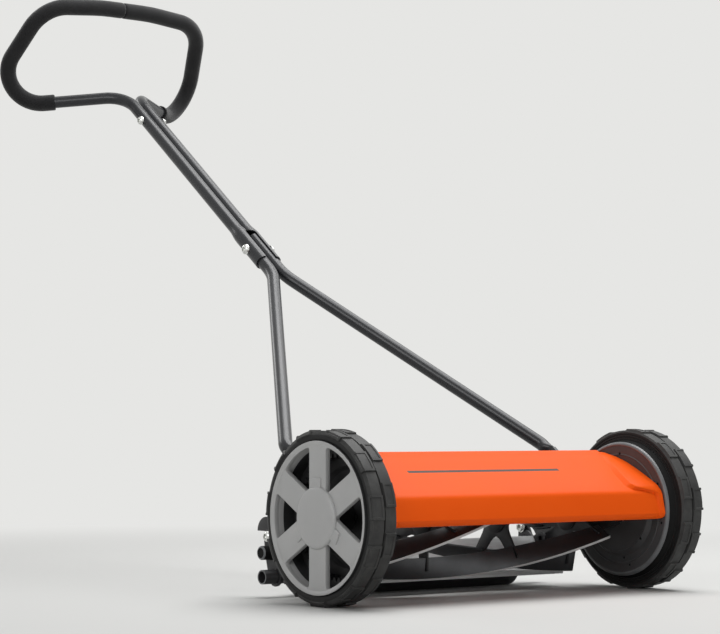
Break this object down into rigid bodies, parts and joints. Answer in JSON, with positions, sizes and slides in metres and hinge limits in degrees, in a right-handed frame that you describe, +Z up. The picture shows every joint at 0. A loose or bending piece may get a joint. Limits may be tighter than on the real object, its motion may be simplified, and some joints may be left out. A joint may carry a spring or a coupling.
{
  "type": "reel mower",
  "caption": "Push reel mower: treaded ground wheels gear a helical cutting reel against a bed knife, under a hood, with a rear roller and a tubular handle that ends in a padded loop.",
  "frame": {"origin": "on the ground, in the middle of the mower's footprint", "axes": "+X along the axles towards the mower's right wheel, +Y backwards towards the handle, +Z up; the mower cuts towards -Y"},
  "size_m": [0.5596, 1.0436, 0.8728],
  "materials": {
    "orange_paint": "satin",
    "graphite_paint": "gloss",
    "black_paint": "satin",
    "blade_steel": "satin",
    "bed_steel": "brushed",
    "bare_steel": "satin",
    "zinc": "satin",
    "hub_plastic": "matte",
    "black_plastic": "satin",
    "tread_rubber": "matte",
    "foam_rubber": "matte"
  },
  "bodies": {
    "frame": {"side_plate_left": "black_paint", "side_plate_right": "black_paint", "axle_stub_left": "zinc", "axle_stub_right": "zinc", "wheel_retainer_left": "zinc", "wheel_retainer_right": "zinc", "dust_disc_left": "black_plastic", "dust_disc_right": "black_plastic", "reel_bearing_left": "black_plastic", "reel_bearing_right": "black_plastic", "arm_sleeve_left": "black_plastic", "arm_sleeve_right": "black_plastic", "cover_screw_left": "zinc", "cover_screw_right": "zinc", "bed_bolt_left": "zinc", "bed_bolt_right": "zinc", "handle_pivot_bolt_left": "zinc", "handle_pivot_bolt_right": "zinc", "cover": "orange_paint", "tie_rod": "black_paint"},
    "reel": {"reel_shaft": "bare_steel", "spider_1": "black_paint", "spider_2": "black_paint", "spider_3": "black_paint", "spider_4": "black_paint", "blade_1": "blade_steel", "blade_2": "blade_steel", "blade_3": "blade_steel", "blade_4": "blade_steel", "blade_5": "blade_steel", "pawl_left": "zinc", "pawl_right": "zinc", "shaft_clip_left": "zinc", "shaft_clip_right": "zinc"},
    "bed_knife": {"bed_bar": "bed_steel", "bed_knife": "blade_steel"},
    "roller_arm": {"roller_arm_left": "black_paint", "roller_arm_right": "black_paint", "clamp_bolt_left": "zinc", "clamp_bolt_right": "zinc", "roller_tube": "black_paint"},
    "roller": {"roller": "black_plastic"},
    "handle": {"lower_tube_left": "graphite_paint", "lower_tube_right": "graphite_paint", "grip_left": "foam_rubber", "grip_right": "foam_rubber", "handle_loop": "graphite_paint", "lower_handle_bolt": "zinc", "upper_handle_bolt": "zinc"},
    "wheel_left": {"hub_left": "hub_plastic", "tyre_left": "tread_rubber", "hub_cap_left": "hub_plastic", "ring_gear_left": "black_plastic"},
    "pinion_left": {"pinion_left": "black_plastic"},
    "wheel_right": {"hub_right": "hub_plastic", "tyre_right": "tread_rubber", "hub_cap_right": "hub_plastic", "ring_gear_right": "black_plastic"},
    "pinion_right": {"pinion_right": "black_plastic"}
  },
  "joints": [
    {"name": "reel_spin", "type": "hinge", "parent": "frame", "child": "reel", "pos_m": [0, -0.35711, 0.0951], "axis": [1, 0, 0], "continuous": true},
    {"name": "wheel_left_spin", "type": "hinge", "parent": "frame", "child": "wheel_left", "pos_m": [-0.256, -0.41691, 0.105], "axis": [1, 0, 0], "continuous": true},
    {"name": "wheel_right_spin", "type": "hinge", "parent": "frame", "child": "wheel_right", "pos_m": [0.256, -0.41691, 0.105], "axis": [1, 0, 0], "continuous": true},
    {"name": "pinion_left_spin", "type": "hinge", "parent": "frame", "child": "pinion_left", "pos_m": [-0.24, -0.35711, 0.0951], "axis": [1, 0, 0], "continuous": true},
    {"name": "pinion_right_spin", "type": "hinge", "parent": "frame", "child": "pinion_right", "pos_m": [0.24, -0.35711, 0.0951], "axis": [1, 0, 0], "continuous": true},
    {"name": "bed_knife_adjust", "type": "hinge", "parent": "frame", "child": "bed_knife", "pos_m": [0, -0.2899, 0.062], "axis": [1, 0, 0], "range_deg": [0, 3]},
    {"name": "cut_height", "type": "hinge", "parent": "frame", "child": "roller_arm", "pos_m": [0, -0.2489, 0.0555], "axis": [1, 0, 0], "range_deg": [0, 75]},
    {"name": "roller_spin", "type": "hinge", "parent": "roller_arm", "child": "roller", "pos_m": [0, -0.2569, 0.026], "axis": [1, 0, 0], "continuous": true},
    {"name": "handle_pivot", "type": "hinge", "parent": "frame", "child": "handle", "pos_m": [0, -0.30523, 0.16779], "axis": [1, 0, 0], "range_deg": [0, 75]}
  ],
  "couplings": [
    {"joint": "pinion_left_spin", "follows": "reel_spin", "ratio": 1},
    {"joint": "wheel_left_spin", "follows": "reel_spin", "ratio": 0.16667},
    {"joint": "pinion_right_spin", "follows": "wheel_right_spin", "ratio": 6}
  ]
}
